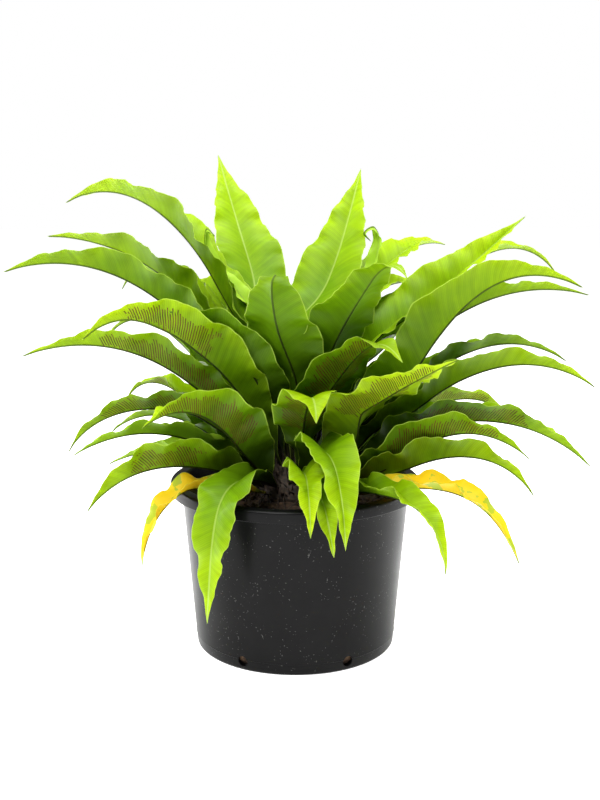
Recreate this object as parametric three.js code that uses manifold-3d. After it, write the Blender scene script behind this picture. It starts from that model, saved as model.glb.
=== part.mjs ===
// A Japanese bird's nest fern in a black nursery pot, life size.
// Millimetres, +Z up. The origin is the centre of the pot's base, on the ground, and -Y is the plant's front.
import * as THREE from "three";
import { mergeVertices } from "three/addons/utils/BufferGeometryUtils.js";
import Module from "manifold-3d";

const wasm = await Module();
wasm.setup();

// The pot: an injection-moulded nursery container with a turned-out rim and six drain holes low in its wall
const POT = {
  height: 210,
  rimRadius: 155,
  rimBand: 14,
  lip: 4,
  wallTopRadius: 141,
  wallBaseRadius: 124.5,
  cornerRadius: 4,
  footRadius: 117,
  footWidth: 6,
  footRecess: 2.5,
  padRadius: 13,
  wall: 2.5,
  sides: 48,
  drainHoles: 6,
  drainRadius: 6.5,
  drainHeight: 12,
  drainSides: 10,
};

// The potting mix fills the pot to a little below the rim
const SOIL = { top: 186, heap: 2, bump: 3, rings: 5, gap: 0.4 };

// The crown: the fern's short upright stock, from which every frond rises
const CROWN = { radius: 46, rise: 40, level: 194, depth: 40, sides: 24, socket: 9, gap: 0.35 };

// What every frond's section shares: half its stalk's width and thickness, the thickness of its blade's edge
// and of its midrib, and how far the two halves are folded together just above the stalk
const SECTION = { stalk: 3.2, stalkThickness: 2, edgeThickness: 0.7, ribThickness: 1.8, neckFold: 54 };

// What a frond has where its row in the lists below gives no other value: the shares of its length that run
// straight at the crown (lead) and at the tip (tail), the angle that each half of the blade is folded up by,
// the height and number of the waves in its edges, its twist, its sideways bend and how much thicker its skin is
const FROND = { segments: 18, lead: 0.4, tail: 0.4, fold: 36, wave: 4.5, waves: 5, roll: 0, side: 0, skin: 0 };

// A small seeded random number generator, so that every build grows the same plant
function seeded(seed) {
  let state = seed >>> 0;
  return () => {
    state = (state + 0x6d2b79f5) >>> 0;
    let t = Math.imul(state ^ (state >>> 15), 1 | state);
    t = (t + Math.imul(t ^ (t >>> 7), 61 | t)) ^ t;
    return ((t ^ (t >>> 14)) >>> 0) / 4294967296;
  };
}

const radians = THREE.MathUtils.degToRad;
const smooth = (x, from, to) => THREE.MathUtils.smoothstep(x, from, to);

// A closed geometry as a solid for booleans
function solidOf(geometry) {
  const bare = geometry.clone();
  bare.deleteAttribute("normal");
  bare.deleteAttribute("uv");
  const merged = mergeVertices(bare, 1e-4);
  const solid = new wasm.Manifold(
    new wasm.Mesh({
      numProp: 3,
      vertProperties: merged.attributes.position.array,
      triVerts: new Uint32Array(merged.index.array),
    }),
  );
  return solid;
}

// A solid back as a geometry that three.js can draw
function geometryOf(solid) {
  const mesh = solid.getMesh();
  const position = new Float32Array(mesh.numVert * 3);
  for (let i = 0; i < mesh.numVert; i++)
    position.set(mesh.vertProperties.subarray(i * mesh.numProp, i * mesh.numProp + 3), i * 3);
  const geometry = new THREE.BufferGeometry();
  geometry.setAttribute("position", new THREE.BufferAttribute(position, 3));
  geometry.setIndex(new THREE.BufferAttribute(new Uint32Array(mesh.triVerts), 1));
  geometry.computeVertexNormals();
  return geometry;
}

// The largest body of a solid, without the scraps that a cut may leave
function largestBody(solid) {
  return solid.decompose().sort((a, b) => b.volume() - a.volume())[0];
}

// A geometry with its points on a grid of 1/256 mm, which 32-bit numbers hold exactly, so that all triangles
// that meet at a point agree on where it is
const GRAIN = 1 / 256;
function snapped(geometry) {
  const { array } = geometry.attributes.position;
  for (let i = 0; i < array.length; i++) array[i] = Math.round(array[i] / GRAIN) * GRAIN;
  return geometry;
}

// A profile of [radius, height] points turned round the vertical axis
function turned(profile, sides) {
  const points = profile.map(([radius, height]) => new THREE.Vector2(radius, height));
  const lathe = new THREE.LatheGeometry(points, sides);
  lathe.rotateX(Math.PI / 2);
  return solidOf(lathe);
}

// Inside the pot: how high its floor lies, and where the floor bends up into the wall
const FLOOR = { top: POT.footRecess + POT.wall, bevel: 3 };
FLOOR.bend = FLOOR.top + FLOOR.bevel;

// The inner radius of the pot's wall at a height
function potInside(z) {
  const share = (z - FLOOR.bend) / (POT.height - POT.lip - FLOOR.bend);
  return THREE.MathUtils.lerp(POT.wallBaseRadius, POT.wallTopRadius, share) - POT.wall;
}

// The pot's underside with its centre pad and foot ring, the wall and the rim in one turned profile, then the
// drain holes
function potSolid() {
  const { height, rimRadius, rimBand, lip, wall, cornerRadius } = POT;
  const { footRadius, footWidth, footRecess, padRadius } = POT;
  const bandBase = height - rimBand;
  const corner = [15, 40, 65, 90].map((angle) => [
    POT.wallBaseRadius - cornerRadius * (1 - Math.sin(radians(angle))),
    cornerRadius * (1 - Math.cos(radians(angle))),
  ]);
  const outside = [
    [0, 0],
    [padRadius, 0],
    [padRadius + 1, footRecess],
    [footRadius - footWidth - 1, footRecess],
    [footRadius - footWidth, 0],
    [footRadius, 0],
    ...corner,
    [POT.wallTopRadius, bandBase + wall],
    [rimRadius - wall, bandBase + wall - 1],
    [rimRadius - wall, bandBase],
    [rimRadius - 0.5, bandBase],
    [rimRadius, height - lip],
    [rimRadius - 2, height - 1],
    [rimRadius - 5, height],
  ];
  const inside = [
    [POT.wallTopRadius + 1, height],
    [POT.wallTopRadius - wall, height - lip],
    [potInside(FLOOR.bend), FLOOR.bend],
    [potInside(FLOOR.bend) - FLOOR.bevel, FLOOR.top],
    [0, FLOOR.top],
  ];
  let pot = turned([...outside, ...inside], POT.sides);
  for (let i = 0; i < POT.drainHoles; i++) {
    const hole = new THREE.CylinderGeometry(POT.drainRadius, POT.drainRadius, 4 * wall, POT.drainSides);
    hole.rotateX(Math.PI / 2).rotateZ(Math.PI / 2);
    hole.translate(POT.wallBaseRadius - wall, 0, POT.drainHeight);
    hole.rotateZ((i * 2 * Math.PI) / POT.drainHoles);
    pot = pot.subtract(solidOf(hole));
  }
  return pot;
}

// The potting mix: a body of revolution that follows the pot's inside, with a lumpy top
function soilSolid() {
  const draw = seeded(7);
  const floor = FLOOR.top + SOIL.gap;
  const outer = potInside(SOIL.top) - SOIL.gap;
  const profile = [
    [0, floor],
    [potInside(FLOOR.bend) - FLOOR.bevel - SOIL.gap, floor],
    [potInside(FLOOR.bend) - SOIL.gap, FLOOR.bend + SOIL.gap],
    [outer, SOIL.top],
  ];
  const level = SOIL.top + SOIL.heap;
  for (let ring = 1; ring < SOIL.rings; ring++) profile.push([outer * (1 - ring / SOIL.rings), level]);
  profile.push([0, level]);
  const points = profile.map(([radius, height]) => new THREE.Vector2(radius, height));
  const lathe = new THREE.LatheGeometry(points, POT.sides / 2);
  lathe.rotateX(Math.PI / 2);
  lathe.deleteAttribute("normal");
  lathe.deleteAttribute("uv");
  const merged = mergeVertices(lathe, 1e-4);
  const position = merged.attributes.position;
  for (let i = 0; i < position.count; i++)
    if (position.getZ(i) > SOIL.top) position.setZ(i, level + SOIL.bump * (2 * draw() - 1));
  return solidOf(merged);
}

// The crown: a low dome over a tapering stock that stands in the mix
function crownSolid(scale = 1) {
  const { radius, rise, level, depth, sides } = CROWN;
  const grow = scale - 1;
  const dome = [];
  for (let angle = 0; angle <= 80; angle += 20)
    dome.push([
      (radius + grow) * Math.cos(radians(angle)),
      level + (rise + grow) * Math.sin(radians(angle)),
    ]);
  const profile = [
    [0, level - depth - grow],
    [radius * 0.45 + grow, level - depth - grow],
    [radius * 0.85 + grow, level - depth / 2],
    ...dome,
    [0, level + rise + grow],
  ];
  return turned(profile, sides);
}

// How wide the blade is along its length, as a share of its greatest width: long tapers at both ends. The
// fronds that lean out have room to stay broad near the crown, and the steep ones in the middle are slimmer.
const TAPER = { base: 1, steepBase: 1.5, steep: 60, tip: 1.35 };
function bladeShare(s, rise) {
  if (s <= 0) return 0;
  const base = rise < TAPER.steep ? TAPER.base : TAPER.steepBase;
  const widest = base / (base + TAPER.tip);
  return (s / widest) ** base * (Math.max(0, 1 - s) / (1 - widest)) ** TAPER.tip;
}

// A frond's midrib as a curve in its own upright plane (x outward from the crown's axis, y up). The steeper
// it rises, the nearer to the crown's top it stands. The coil at a young tip tightens as it turns.
const MIDRIB = { steps: 80, coilSteps: 60, tightening: 1.7 };
function midribOf(row) {
  const seat = radians(row.rise * 0.9 - 4);
  const base = new THREE.Vector2(CROWN.radius * Math.cos(seat), CROWN.rise * Math.sin(seat));
  const tip = new THREE.Vector2(row.reach, row.height - CROWN.level);
  const chord = base.distanceTo(tip);
  const out = radians(row.rise);
  const end = radians(row.end);
  const bezier = new THREE.CubicBezierCurve(
    base,
    new THREE.Vector2(Math.cos(out), Math.sin(out)).multiplyScalar(chord * row.lead).add(base),
    new THREE.Vector2(Math.cos(end), Math.sin(end)).multiplyScalar(-chord * row.tail).add(tip),
    tip,
  );
  const points = bezier.getSpacedPoints(MIDRIB.steps);
  if (row.curl) {
    const step = row.curl.length / MIDRIB.coilSteps;
    const last = points[points.length - 1].clone();
    for (let i = 1; i <= MIDRIB.coilSteps; i++) {
      const turn = end + radians(row.curl.turn) * (i / MIDRIB.coilSteps) ** MIDRIB.tightening;
      last.add(new THREE.Vector2(Math.cos(turn), Math.sin(turn)).multiplyScalar(step));
      points.push(last.clone());
    }
  }
  return points;
}

// A frond: the stations along its midrib, each with its two edges. A station's shift is how far the frond has
// been pushed there by its neighbours.
function frondOf(row, index) {
  const draw = seeded(100 + index);
  const full = { ...FROND, phase: [draw(), draw()], ...row };
  const flat = midribOf(full);
  const az = radians(full.az);
  const outward = new THREE.Vector3(Math.cos(az), Math.sin(az), 0);
  const across = new THREE.Vector3(-Math.sin(az), Math.cos(az), 0);
  const lengths = [0];
  for (let i = 1; i < flat.length; i++) lengths.push(lengths[i - 1] + flat[i].distanceTo(flat[i - 1]));
  const total = lengths[lengths.length - 1];
  const place = (length) => {
    let i = 1;
    while (i < lengths.length - 1 && lengths[i] < length) i++;
    const share = (length - lengths[i - 1]) / (lengths[i] - lengths[i - 1]);
    const p = flat[i - 1].clone().lerp(flat[i], share);
    const drift = full.side * (length / total) ** 2;
    return outward.clone().multiplyScalar(p.x).addScaledVector(across, drift).setZ(CROWN.level + p.y);
  };
  const stations = [];
  for (let i = -1; i <= full.segments; i++) {
    const length = i < 0 ? -CROWN.socket : (total * i) / full.segments;
    const s = Math.max(0, length / total);
    const centre = place(length);
    const ahead = Math.min(total, length + 1);
    const tangent = place(ahead).sub(place(ahead - 2)).normalize();
    const level = across.clone().addScaledVector(tangent, -across.dot(tangent)).normalize();
    const steep = tangent.clone().cross(level);
    const roll = radians(full.roll * smooth(s, 0.05, 0.75));
    const side = level.clone().multiplyScalar(Math.cos(roll)).addScaledVector(steep, Math.sin(roll));
    const up = steep.clone().multiplyScalar(Math.cos(roll)).addScaledVector(level, -Math.sin(roll));
    const shift = new THREE.Vector3();
    stations.push({ s, centre, tangent, side, up, shift, ...sectionOf(full, s, side, up) });
  }
  return { row: full, stations, step: total / full.segments };
}

// A frond's section: how far each half of the blade reaches from the midrib, and how thick it is. The stalk
// turns into blade along the neck, and the folded blade is fully open from a little under half its length.
const BLADE = { neck: 0.1, open: 0.45, scallop: 0.05, ribTaper: 0.65 };
function sectionOf(row, s, side, up) {
  const { stalk, stalkThickness, edgeThickness, ribThickness, neckFold } = SECTION;
  const share = bladeShare(s, row.rise);
  const opened = smooth(s, 0, BLADE.neck);
  const fold = radians(THREE.MathUtils.lerp(neckFold, row.fold, smooth(s, BLADE.neck, BLADE.open)) * opened);
  const halves = [-1, 1].map((hand, k) => {
    const wave = Math.sin(2 * Math.PI * (row.waves * s + row.phase[k]));
    const reach = Math.max(stalk, (row.width / 2) * share * (1 + BLADE.scallop * wave));
    const out = side.clone().multiplyScalar(hand * Math.cos(fold)).addScaledVector(up, Math.sin(fold));
    const normal = up.clone().multiplyScalar(Math.cos(fold)).addScaledVector(side, -hand * Math.sin(fold));
    const edge = out.clone().multiplyScalar(reach).addScaledVector(normal, row.wave * share * wave);
    return { out, normal, edge };
  });
  return {
    halves,
    edgeHalf: THREE.MathUtils.lerp(stalkThickness, edgeThickness, opened) / 2,
    ribAbove: THREE.MathUtils.lerp(stalkThickness, edgeThickness * 0.6, opened),
    ribBelow: THREE.MathUtils.lerp(stalkThickness, ribThickness * (1 - BLADE.ribTaper * s), opened),
  };
}

// One frond: stalk, midrib and waved blade in one closed skin, which may be grown by an extra to its sides and
// at its foot. Each station has six points, round the section: left edge, midrib and right edge above, then
// the same three below. The triangles below are split as those above are, so the two sides stay parallel.
function frondGeometry({ stations }, extra = 0, footExtra = 0) {
  const vertices = [];
  for (const station of stations.slice(0, -1)) {
    const { centre, shift, tangent, up, halves, edgeHalf, ribAbove, ribBelow } = station;
    const middle = centre.clone().add(shift);
    if (station === stations[0]) middle.addScaledVector(tangent, -footExtra);
    const [left, right] = halves.map(({ out, normal, edge }) => {
      const rim = middle.clone().add(edge).addScaledVector(out, extra);
      return [1, -1].map((face) => rim.clone().addScaledVector(normal, face * (edgeHalf + extra)));
    });
    const above = middle.clone().addScaledVector(up, ribAbove + extra);
    const below = middle.clone().addScaledVector(up, -ribBelow - extra);
    vertices.push(left[0], above, right[0], right[1], below, left[1]);
  }
  const rows = stations.length - 1;
  const last = stations[rows];
  const tip = vertices.push(last.centre.clone().add(last.shift).addScaledVector(last.tangent, extra)) - 1;
  const faces = [];
  const at = (i, k) => i * 6 + (k % 6);
  for (let i = 0; i < rows - 1; i++)
    for (let k = 0; k < 6; k++) {
      const [a, b, c, d] = [at(i, k), at(i, k + 1), at(i + 1, k + 1), at(i + 1, k)];
      if (k === 0 || k === 2 || k === 3) faces.push(a, c, b, a, d, c);
      else faces.push(a, d, b, b, d, c);
    }
  for (let k = 0; k < 6; k++) faces.push(at(rows - 1, k + 1), at(rows - 1, k), tip);
  faces.push(5, 1, 4, 5, 0, 1, 4, 2, 3, 4, 1, 2);
  const geometry = new THREE.BufferGeometry();
  geometry.setAttribute(
    "position",
    new THREE.BufferAttribute(new Float32Array(vertices.flatMap((v) => [v.x, v.y, v.z])), 3),
  );
  geometry.setIndex(faces);
  return geometry;
}

// How the tips of the youngest fronds are still coiled: the length that is, and how far it turns
const COILS = {
  inward: { length: 70, turn: 330 },
  outward: { length: 70, turn: -110 },
  loose: { length: 70, turn: 300 },
  tight: { length: 60, turn: 420 },
  closed: { length: 60, turn: 480 },
};

// A frond that runs straight for most of its length and then bends over
const LATE_BEND = { lead: 0.8, tail: 0.3 };

// The fronds that stand or lean to the front. Angles are in degrees: az is where the frond points (-90 is the
// front), rise is the slope it leaves the crown at and end is the slope at its tip.
const FRONT = [
  { az: -108, rise: 80, reach: 105, height: 440, end: 80, width: 94, fold: 14, curl: COILS.inward },
  { az: -62, rise: 82, reach: 135, height: 462, end: 50, width: 92, fold: 14, side: 34, curl: COILS.outward },
  { az: -81, rise: 63, reach: 150, height: 310, end: -75, width: 80, fold: 14, lead: 0.9, tail: 0.3 },
  { az: -58, rise: 68, reach: 160, height: 372, end: -55, width: 90, fold: 14, side: 45, ...LATE_BEND },
  { az: -44, rise: 46, reach: 248, height: 384, end: 28, width: 108, fold: 14, roll: -15 },
  { az: -134, rise: 48, reach: 240, height: 313, end: -25, width: 98, roll: 25 },
  { az: -150, rise: 64, reach: 270, height: 417, end: -38, width: 96, roll: 25 },
  { az: -142, rise: 73, reach: 190, height: 400, end: -10, width: 76, roll: 15 },
  { az: -14, rise: 51, reach: 334, height: 462, end: -25, width: 108, roll: -30 },
  { az: -28, rise: 34, reach: 297, height: 273, end: -35, width: 80, roll: -25 },
];

// The fronds that hang over the pot's rim in front, and the old ones that have gone yellow
const LOW = [
  { az: -122, rise: 26, reach: 190, height: 80, end: -82, width: 60, fold: 12, lead: 0.8, tail: 0.6 },
  { az: -75, rise: 41, reach: 212, height: 180, end: -80, width: 72, fold: 34, lead: 0.9, tail: 0.4 },
  { az: -85, rise: 34, reach: 193, height: 192, end: -76, width: 54, fold: 34, ...LATE_BEND },
  { az: -80, rise: 26, reach: 178, height: 163, end: -80, width: 44, fold: 30, side: 12, ...LATE_BEND },
  { az: -50, rise: 14, reach: 258, height: 150, end: -82, width: 54, lead: 0.6 },
  { az: -33, rise: 14, reach: 300, height: 153, end: -62, width: 50, lead: 0.6, yellow: true },
  { az: -148, rise: 14, reach: 210, height: 127, end: -80, width: 44, lead: 0.6, yellow: true },
];

// The fronds that lean out to the two sides
const SIDES = [
  { az: 178, rise: 68, reach: 356, height: 465, end: -18, width: 82, roll: 25 },
  { az: 192, rise: 58, reach: 325, height: 375, end: -18, width: 80, roll: 25 },
  { az: 185, rise: 52, reach: 279, height: 246, end: -58, width: 66, roll: 20 },
  { az: 205, rise: 24, reach: 267, height: 198, end: -48, width: 90, roll: 32 },
  { az: 196, rise: 38, reach: 273, height: 257, end: -28, width: 56, roll: 15 },
  { az: -1, rise: 45, reach: 366, height: 327, end: -34, width: 74, roll: -25 },
  { az: -14, rise: 36, reach: 358, height: 243, end: -42, width: 80, roll: -18 },
  { az: -24, rise: 26, reach: 299, height: 225, end: -52, width: 76, roll: -25 },
  { az: 4, rise: 55, reach: 366, height: 435, end: -14, width: 76, roll: -20 },
  { az: 11, rise: 49, reach: 351, height: 346, end: -32, width: 56, roll: -20 },
  { az: 15, rise: 42, reach: 290, height: 271, end: -45, width: 60, roll: -20 },
  { az: 170, rise: 34, reach: 242, height: 218, end: -25, width: 44 },
];

// The fronds behind the middle that stand above it or show between the others
const REAR = [
  { az: 112, rise: 73, reach: 285, height: 600, end: 52, width: 92, fold: 14 },
  { az: 64, rise: 71, reach: 212, height: 583, end: 62, width: 94, fold: 14 },
  { az: 150, rise: 76, reach: 354, height: 542, end: -24, width: 80, roll: 25, wave: 7 },
  { az: 163, rise: 70, reach: 334, height: 502, end: 0, width: 80, roll: 20, wave: 7 },
  { az: 16, rise: 60, reach: 312, height: 527, end: 42, width: 86, roll: 25 },
  { az: 27, rise: 56, reach: 400, height: 446, end: -48, width: 68, roll: 8 },
  { az: 54, rise: 65, reach: 373, height: 476, end: -10, width: 66, roll: 12 },
  { az: 33, rise: 70, reach: 200, height: 423, end: -10, width: 70, roll: 20 },
  { az: 34, rise: 81, reach: 142, height: 480, end: 82, width: 34, young: true, curl: COILS.loose },
  { az: 152, rise: 81, reach: 146, height: 485, end: 72, width: 28, young: true, curl: COILS.tight },
  { az: 121, rise: 67, reach: 205, height: 500, end: 35, width: 44 },
  { az: 138, rise: 56, reach: 322, height: 436, end: -50, width: 60 },
  { az: 150, rise: 52, reach: 291, height: 364, end: -50, width: 60 },
  { az: 160, rise: 48, reach: 228, height: 302, end: -55, width: 54 },
  { az: 165, rise: 43, reach: 244, height: 256, end: -40, width: 50 },
];

// The fronds at the back, which the view from the front hides: old ones, so a little thicker
const BACK = { az: [60, 132], rise: [22, 58], reach: [270, 335], height: [190, 370], width: [56, 76] };
BACK.count = 9;
BACK.skin = 0.05;
function backFronds() {
  const draw = seeded(31);
  const between = ([least, most], share) => THREE.MathUtils.lerp(least, most, share);
  const rows = [];
  for (let i = 0; i < BACK.count; i++) {
    const layer = (i % 3) / 2;
    rows.push({
      az: between(BACK.az, (i + 0.5) / BACK.count),
      rise: between(BACK.rise, layer) + i / 2,
      reach: between(BACK.reach, draw()),
      height: between(BACK.height, layer) + 20 * draw(),
      end: -15 - 35 * draw(),
      width: between(BACK.width, draw()),
      skin: BACK.skin,
    });
  }
  return rows;
}

// The youngest frond, still coiled, in the middle of the nest
const CROZIER = { az: 60, rise: 96, reach: 3, height: 252, end: 96, width: 11, young: true };
CROZIER.curl = COILS.closed;

// Two fronds face each other where the cosine of the angle between them is below this
const FACING = 0.3;

// How the fronds settle: the space they keep, how deep a crossing still counts as one, how hard they push at
// first and how much of that they lose by the end, the first stations, which are stalk and part sideways, and
// how their shifts even out and spring back
const SETTLE = {
  rounds: 240,
  space: 4,
  depth: 26,
  push: 1,
  calm: 0.6,
  stalks: 3,
  stalkSpace: 10,
  stalkPush: 0.25,
  even: 0.4,
  keep: 0.996,
};

// Where a point lies over a frond's blade at a station: its height above the face, or null beside it
function heightOver(point, station, step) {
  const from = point.clone().sub(station.centre).sub(station.shift);
  if (Math.abs(from.dot(station.tangent)) > step * 0.6) return null;
  const x = from.dot(station.side);
  const { edge } = station.halves[x < 0 ? 0 : 1];
  const reach = Math.abs(edge.dot(station.side));
  if (Math.abs(x) > reach + 2) return null;
  return from.dot(station.up) - (edge.dot(station.up) * Math.min(reach, Math.abs(x))) / reach;
}

// The points of a frond at a station that are tested against its neighbours
function testPoints({ centre, shift, halves }) {
  const middle = centre.clone().add(shift);
  const [left, right] = halves.map(({ edge }) => edge);
  return [
    middle,
    middle.clone().add(left),
    middle.clone().add(right),
    middle.clone().addScaledVector(left, 0.5),
    middle.clone().addScaledVector(right, 0.5),
  ];
}

// Note a push on a station; a round ends by moving each station by the mean of its pushes
function nudge(station, direction, amount) {
  station.pushed.addScaledVector(direction, amount);
  station.pushes += 1;
}

// Push one frond's stations off another's blade: hand is 1 where the moved frond belongs above it, -1 below
function pushOff(moved, still, hand) {
  const { space, depth, stalks } = SETTLE;
  for (const station of moved.stations.slice(stalks)) {
    for (const under of still.stations.slice(stalks)) {
      if (station.spot.distanceTo(under.spot) > station.size + under.size + still.step) continue;
      for (const point of station.points) {
        const height = heightOver(point, under, still.step);
        if (height === null) continue;
        const lack = space - hand * height;
        if (lack <= 0 || lack > depth) continue;
        nudge(station, under.up, hand * lack);
        nudge(under, under.up, -hand * lack);
      }
    }
  }
}

// Part two fronds' stalks
function partStalks(a, b) {
  const { stalks, stalkSpace, stalkPush } = SETTLE;
  for (let i = 1; i < stalks + 2; i++)
    for (let k = 1; k < stalks + 2; k++) {
      const apart = a.stations[i].spot.clone().sub(b.stations[k].spot);
      const lack = stalkSpace - apart.length();
      if (lack <= 0) continue;
      apart.setLength(lack * stalkPush);
      a.stations[i].shift.add(apart);
      b.stations[k].shift.sub(apart);
    }
}

// Lift a frond over the pot's rim and off the mix, or push it out past the rim, whichever is nearer
const CLEAR = { overMix: 10, overRim: 6, rimFrom: 60, pastRim: 5, pastCrown: 4, push: 0.3 };
function clearPot(station) {
  for (const point of station.points) {
    const radius = Math.hypot(point.x, point.y);
    const nearRim = smooth(radius, CLEAR.rimFrom, POT.wallTopRadius);
    const floor = THREE.MathUtils.lerp(SOIL.top + CLEAR.overMix, POT.height + CLEAR.overRim, nearRim);
    const lift = floor - point.z;
    const out = POT.rimRadius + CLEAR.pastRim - radius;
    if (lift <= 0 || out <= 0 || radius < CROWN.radius + CLEAR.pastCrown) continue;
    const outward = new THREE.Vector3(point.x / radius, point.y / radius, 0);
    if (lift < out) station.shift.z += lift * CLEAR.push;
    else station.shift.addScaledVector(outward, out * CLEAR.push);
  }
}

// The fronds part until none crosses another: one that rises more steeply grew later, and lies over those
// round it. Two on opposite sides of the crown face each other, so each belongs above the other.
function settle(fronds) {
  const order = [...fronds].sort((a, b) => b.row.rise - a.row.rise);
  for (let round = 0; round < SETTLE.rounds; round++) {
    const strength = SETTLE.push * (1 - (SETTLE.calm * round) / SETTLE.rounds);
    for (const { stations } of order) {
      for (const station of stations) {
        station.spot = station.centre.clone().add(station.shift);
        station.size = Math.max(...station.halves.map(({ edge }) => edge.length()));
        station.points = testPoints(station);
        station.pushed = new THREE.Vector3();
        station.pushes = 0;
      }
      for (let i = 1; i < stations.length; i++) {
        const { points } = stations[i];
        const before = stations[i - 1].points.slice(0, 3);
        points.push(...before.map((point, k) => point.clone().lerp(points[k], 0.5)));
      }
    }
    order.forEach((inner, i) => {
      for (const outer of order.slice(i + 1)) {
        const facing = Math.cos(radians(inner.row.az - outer.row.az)) < FACING;
        pushOff(inner, outer, 1);
        pushOff(outer, inner, facing ? 1 : -1);
        partStalks(inner, outer);
      }
    });
    for (const { stations } of order) {
      for (const station of stations) {
        if (station.pushes > 0) station.shift.addScaledVector(station.pushed, strength / station.pushes);
        clearPot(station);
      }
      relax(stations);
    }
  }
}

// Even out a frond's shifts along its length, and let its own stiffness draw it back a little
function relax(stations) {
  const shifts = stations.map(({ shift }) => shift.clone());
  const last = stations.length - 1;
  for (let i = 1; i <= last; i++) {
    const next = shifts[Math.min(last, i + 1)];
    const mean = shifts[i - 1].clone().add(next).multiplyScalar(0.5);
    stations[i].shift.lerp(mean, SETTLE.even).multiplyScalar(SETTLE.keep);
  }
  const outward = stations[1].tangent;
  stations[1].shift.addScaledVector(outward, -stations[1].shift.dot(outward));
  stations[0].shift.copy(stations[1].shift);
}

// Where two fronds' solids still cross, the middle of the crossing, or null
function crossingOf(a, b) {
  const [p, q] = [a.boundingBox(), b.boundingBox()];
  for (let k = 0; k < 3; k++) if (p.min[k] > q.max[k] || q.min[k] > p.max[k]) return null;
  const shared = a.intersect(b);
  const { min, max } = shared.boundingBox();
  const crosses = shared.volume() > 0;
  shared.delete();
  return crosses ? new THREE.Vector3(...min).lerp(new THREE.Vector3(...max), 0.5) : null;
}

// Bend a frond in one direction round a point, most where it's nearest
function bend({ stations }, point, direction, amount) {
  for (const station of stations.slice(1)) {
    const away = station.centre.clone().add(station.shift).distanceTo(point) / PARTING.spread;
    station.shift.addScaledVector(direction, amount * Math.exp(-away * away));
  }
  stations[0].shift.copy(stations[1].shift);
}

// What still crosses after settling is found exactly, and bent apart there, harder each time it crosses again
const PARTING = { passes: 120, gap: 0.2, step: 1, harder: 0.1, spread: 42 };
function partCrossings(fronds) {
  const nearest = ({ stations }, point) =>
    stations.reduce((best, station) =>
      station.centre.distanceTo(point) < best.centre.distanceTo(point) ? station : best,
    );
  const met = new Map();
  for (let pass = 0; pass < PARTING.passes; pass++) {
    const rooms = fronds.map((frond) => solidOf(frondGeometry(frond, PARTING.gap)));
    let crossings = 0;
    fronds.forEach((a, i) => {
      for (let k = i + 1; k < fronds.length; k++) {
        const crossing = crossingOf(rooms[i], rooms[k]);
        if (!crossing) continue;
        crossings += 1;
        const [inner, outer] = a.row.rise > fronds[k].row.rise ? [a, fronds[k]] : [fronds[k], a];
        const facing = Math.cos(radians(inner.row.az - outer.row.az)) < FACING;
        const pair = i * fronds.length + k;
        const amount = PARTING.step * (1 + PARTING.harder * (met.get(pair) ?? 0));
        met.set(pair, (met.get(pair) ?? 0) + 1);
        bend(inner, crossing, nearest(outer, crossing).up, amount);
        bend(outer, crossing, nearest(inner, crossing).up, facing ? amount : -amount);
      }
    });
    rooms.forEach((room) => room.delete());
    if (crossings === 0) return;
  }
}

const ROWS = [...FRONT, ...LOW, ...SIDES, ...REAR, CROZIER, ...backFronds()];
const fronds = ROWS.map(frondOf);
settle(fronds);
partCrossings(fronds);
const pot = potSolid();
const soil = soilSolid();

const LOOKS = {
  pot: { color: "#1b1b1d", roughness: 0.42, metalness: 0 },
  soil: { color: "#2e2118", roughness: 0.95, metalness: 0 },
  crown: { color: "#3c2c1c", roughness: 0.9, metalness: 0 },
  leaf: { color: "#5f9a17", roughness: 0.4, metalness: 0 },
  young: { color: "#a5d63a", roughness: 0.4, metalness: 0 },
  yellow: { color: "#d8c92e", roughness: 0.5, metalness: 0 },
};
function meshOf(name, geometry, look) {
  const mesh = new THREE.Mesh(geometry, new THREE.MeshStandardMaterial(LOOKS[look]));
  mesh.name = name;
  return mesh;
}

const plant = new THREE.Group();
plant.add(meshOf("pot", geometryOf(pot), "pot"));
plant.add(meshOf("soil", geometryOf(soil.subtract(crownSolid(1 + CROWN.gap))), "soil"));

let crown = crownSolid();
for (const frond of fronds) crown = crown.subtract(solidOf(frondGeometry(frond, CROWN.gap, CROWN.gap)));
plant.add(meshOf("crown", geometryOf(largestBody(crown)), "crown"));

fronds.forEach((frond, i) => {
  const name = `frond_${String(i + 1).padStart(2, "0")}`;
  const look = frond.row.young ? "young" : frond.row.yellow ? "yellow" : "leaf";
  plant.add(meshOf(name, snapped(frondGeometry(frond, frond.row.skin)), look));
});

export default plant;
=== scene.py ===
# A bird's nest fern in a black nursery pot: the fine surfaces and finishes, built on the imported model.
# Metres, +Z up. The origin is the centre of the pot's base, and -Y is the plant's front.
import math

import bmesh
import bpy
import numpy as np
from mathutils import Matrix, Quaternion, Vector, noise


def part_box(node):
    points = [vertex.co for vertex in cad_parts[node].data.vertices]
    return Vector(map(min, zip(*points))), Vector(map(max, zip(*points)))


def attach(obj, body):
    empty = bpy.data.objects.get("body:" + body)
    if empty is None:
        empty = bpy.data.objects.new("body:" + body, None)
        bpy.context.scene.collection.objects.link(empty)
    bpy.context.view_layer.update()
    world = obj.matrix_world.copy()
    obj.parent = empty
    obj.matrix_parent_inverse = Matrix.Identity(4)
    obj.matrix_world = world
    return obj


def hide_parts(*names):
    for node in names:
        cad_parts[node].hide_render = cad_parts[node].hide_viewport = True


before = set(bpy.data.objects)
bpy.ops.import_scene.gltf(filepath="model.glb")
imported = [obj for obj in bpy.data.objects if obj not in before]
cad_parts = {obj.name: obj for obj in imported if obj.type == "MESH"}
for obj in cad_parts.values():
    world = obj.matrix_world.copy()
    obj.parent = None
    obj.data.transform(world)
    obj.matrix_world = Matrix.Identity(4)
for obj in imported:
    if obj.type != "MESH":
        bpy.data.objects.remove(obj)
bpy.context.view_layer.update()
MM = 0.001

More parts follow.
